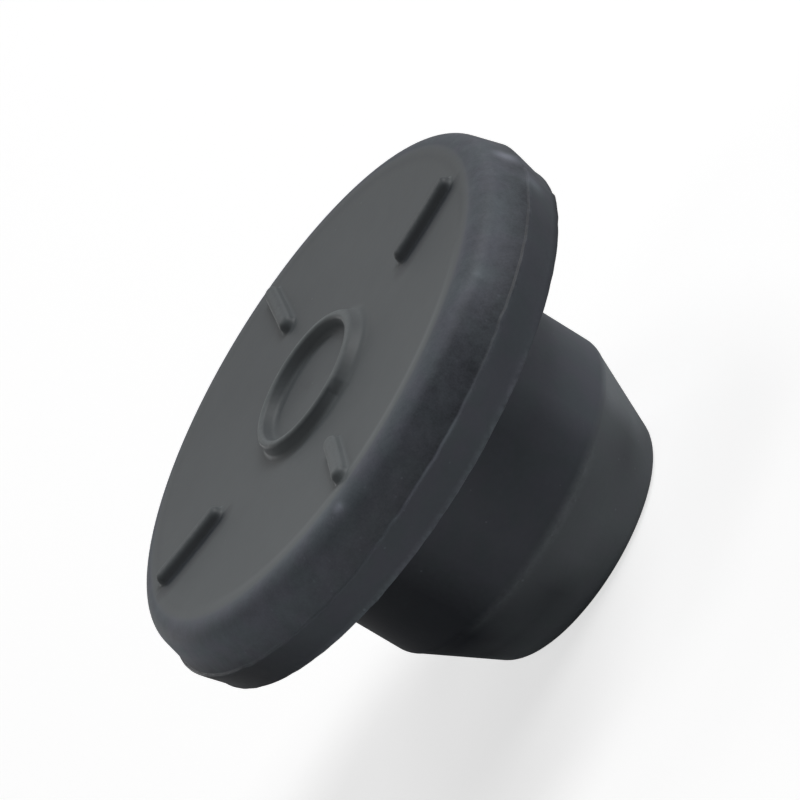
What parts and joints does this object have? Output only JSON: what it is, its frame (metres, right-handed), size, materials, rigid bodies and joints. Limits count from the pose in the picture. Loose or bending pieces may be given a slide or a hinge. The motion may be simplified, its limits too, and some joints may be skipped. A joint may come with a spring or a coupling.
{
  "type": "rubber stopper",
  "caption": "Flanged rubber stopper for a small vial, with a coned plug, a flange with a moulded shoulder and a trimmed rim, a raised target ring and short radial ribs.",
  "frame": {"origin": "on the stopper's axis, in the plane of the plug's end face, which it stands on", "axes": "+Z along the axis from the plug's end towards the flange's top face; +X and +Y each point along a raised rib"},
  "size_m": [0.0125, 0.0124, 0.007],
  "materials": {
    "rubber": "semi-matt, as-moulded dark grey butyl rubber with a fine grain and a few specks of dust"
  },
  "bodies": {
    "root": {"stopper": "rubber"}
  },
  "joints": []
}
